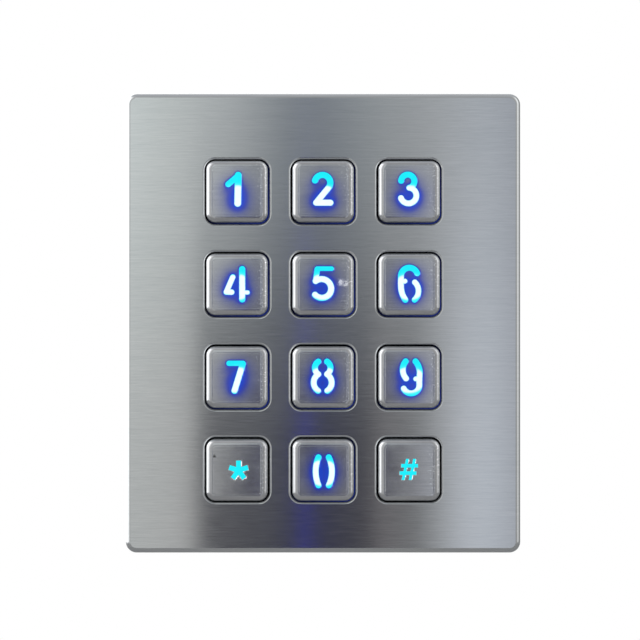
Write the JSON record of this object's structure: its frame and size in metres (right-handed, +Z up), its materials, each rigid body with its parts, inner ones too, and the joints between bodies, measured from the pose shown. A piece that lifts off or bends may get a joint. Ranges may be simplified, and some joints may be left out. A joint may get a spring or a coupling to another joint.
{
  "type": "keypad access reader",
  "caption": "Flush wall keypad reader: brushed steel panel with backlit push keys, silicone keymat, circuit board and back cover.",
  "frame": {"origin": "centre of the panel on the wall plane, which is the back face of the panel gasket and the middle of the four studs", "axes": "+X right and +Z up as seen from the room, +Y into the wall; the keys face -Y"},
  "size_m": [0.086, 0.0241, 0.1],
  "materials": {
    "brushed_steel_panel": "brushed side to side",
    "key_steel": "fine satin",
    "legend_glow": "translucent, lit from behind",
    "contact_carbon": "carbon filled",
    "gasket_rubber": "matte",
    "stud_steel": "plain",
    "post_brass": "plain",
    "frame_plastic": "fine texture",
    "keymat_silicone": "translucent silicone",
    "board_laminate": "solder mask",
    "contact_gold": "plated",
    "led_package": "blue lamp",
    "resistor_ceramic": "ceramic",
    "chip_epoxy": "moulded epoxy",
    "crystal_can": "satin can",
    "capacitor_can": "can",
    "buzzer_plastic": "moulded",
    "header_nylon": "natural nylon",
    "pin_tin": "tin plated",
    "cover_plastic": "spark-eroded texture",
    "screw_steel": "plain"
  },
  "bodies": {
    "housing": {"front_panel": "brushed_steel_panel", "panel_gasket": "gasket_rubber", "mounting_studs": "stud_steel", "panel_standoffs": "post_brass", "guide_frame": "frame_plastic", "keymat": "keymat_silicone", "circuit_board": "board_laminate", "contact_pads": "contact_gold", "backlight_leds": "led_package", "led_resistors": "resistor_ceramic", "controller_chip": "chip_epoxy", "crystal": "crystal_can", "voltage_regulator": "chip_epoxy", "filter_capacitors": "capacitor_can", "buzzer": "buzzer_plastic", "connector_header": "header_nylon", "header_pins": "pin_tin", "back_cover": "cover_plastic", "cover_seal": "gasket_rubber", "board_screws": "screw_steel", "cover_screws": "screw_steel"},
    "key_1": {"key_cap_1": "key_steel", "light_guide_1": "legend_glow", "contact_ring_1": "contact_carbon"},
    "key_2": {"key_cap_2": "key_steel", "light_guide_2": "legend_glow", "contact_ring_2": "contact_carbon"},
    "key_3": {"key_cap_3": "key_steel", "light_guide_3": "legend_glow", "contact_ring_3": "contact_carbon"},
    "key_4": {"key_cap_4": "key_steel", "light_guide_4": "legend_glow", "contact_ring_4": "contact_carbon"},
    "key_5": {"key_cap_5": "key_steel", "light_guide_5": "legend_glow", "contact_ring_5": "contact_carbon"},
    "key_6": {"key_cap_6": "key_steel", "light_guide_6": "legend_glow", "contact_ring_6": "contact_carbon"},
    "key_7": {"key_cap_7": "key_steel", "light_guide_7": "legend_glow", "contact_ring_7": "contact_carbon"},
    "key_8": {"key_cap_8": "key_steel", "light_guide_8": "legend_glow", "contact_ring_8": "contact_carbon"},
    "key_9": {"key_cap_9": "key_steel", "light_guide_9": "legend_glow", "contact_ring_9": "contact_carbon"},
    "key_star": {"key_cap_star": "key_steel", "light_guide_star": "legend_glow", "contact_ring_star": "contact_carbon"},
    "key_0": {"key_cap_0": "key_steel", "light_guide_0": "legend_glow", "contact_ring_0": "contact_carbon"},
    "key_hash": {"key_cap_hash": "key_steel", "light_guide_hash": "legend_glow", "contact_ring_hash": "contact_carbon"}
  },
  "joints": [
    {"name": "key_1_press", "type": "slide", "parent": "housing", "child": "key_1", "axis": [0, 1, 0], "range_m": [0, 0.0012], "stiffness_N_per_m": 1200, "springref_m": -0.0005, "deforming": ["keymat"]},
    {"name": "key_2_press", "type": "slide", "parent": "housing", "child": "key_2", "axis": [0, 1, 0], "range_m": [0, 0.0012], "stiffness_N_per_m": 1200, "springref_m": -0.0005, "deforming": ["keymat"]},
    {"name": "key_3_press", "type": "slide", "parent": "housing", "child": "key_3", "axis": [0, 1, 0], "range_m": [0, 0.0012], "stiffness_N_per_m": 1200, "springref_m": -0.0005, "deforming": ["keymat"]},
    {"name": "key_4_press", "type": "slide", "parent": "housing", "child": "key_4", "axis": [0, 1, 0], "range_m": [0, 0.0012], "stiffness_N_per_m": 1200, "springref_m": -0.0005, "deforming": ["keymat"]},
    {"name": "key_5_press", "type": "slide", "parent": "housing", "child": "key_5", "axis": [0, 1, 0], "range_m": [0, 0.0012], "stiffness_N_per_m": 1200, "springref_m": -0.0005, "deforming": ["keymat"]},
    {"name": "key_6_press", "type": "slide", "parent": "housing", "child": "key_6", "axis": [0, 1, 0], "range_m": [0, 0.0012], "stiffness_N_per_m": 1200, "springref_m": -0.0005, "deforming": ["keymat"]},
    {"name": "key_7_press", "type": "slide", "parent": "housing", "child": "key_7", "axis": [0, 1, 0], "range_m": [0, 0.0012], "stiffness_N_per_m": 1200, "springref_m": -0.0005, "deforming": ["keymat"]},
    {"name": "key_8_press", "type": "slide", "parent": "housing", "child": "key_8", "axis": [0, 1, 0], "range_m": [0, 0.0012], "stiffness_N_per_m": 1200, "springref_m": -0.0005, "deforming": ["keymat"]},
    {"name": "key_9_press", "type": "slide", "parent": "housing", "child": "key_9", "axis": [0, 1, 0], "range_m": [0, 0.0012], "stiffness_N_per_m": 1200, "springref_m": -0.0005, "deforming": ["keymat"]},
    {"name": "key_star_press", "type": "slide", "parent": "housing", "child": "key_star", "axis": [0, 1, 0], "range_m": [0, 0.0012], "stiffness_N_per_m": 1200, "springref_m": -0.0005, "deforming": ["keymat"]},
    {"name": "key_0_press", "type": "slide", "parent": "housing", "child": "key_0", "axis": [0, 1, 0], "range_m": [0, 0.0012], "stiffness_N_per_m": 1200, "springref_m": -0.0005, "deforming": ["keymat"]},
    {"name": "key_hash_press", "type": "slide", "parent": "housing", "child": "key_hash", "axis": [0, 1, 0], "range_m": [0, 0.0012], "stiffness_N_per_m": 1200, "springref_m": -0.0005, "deforming": ["keymat"]}
  ]
}
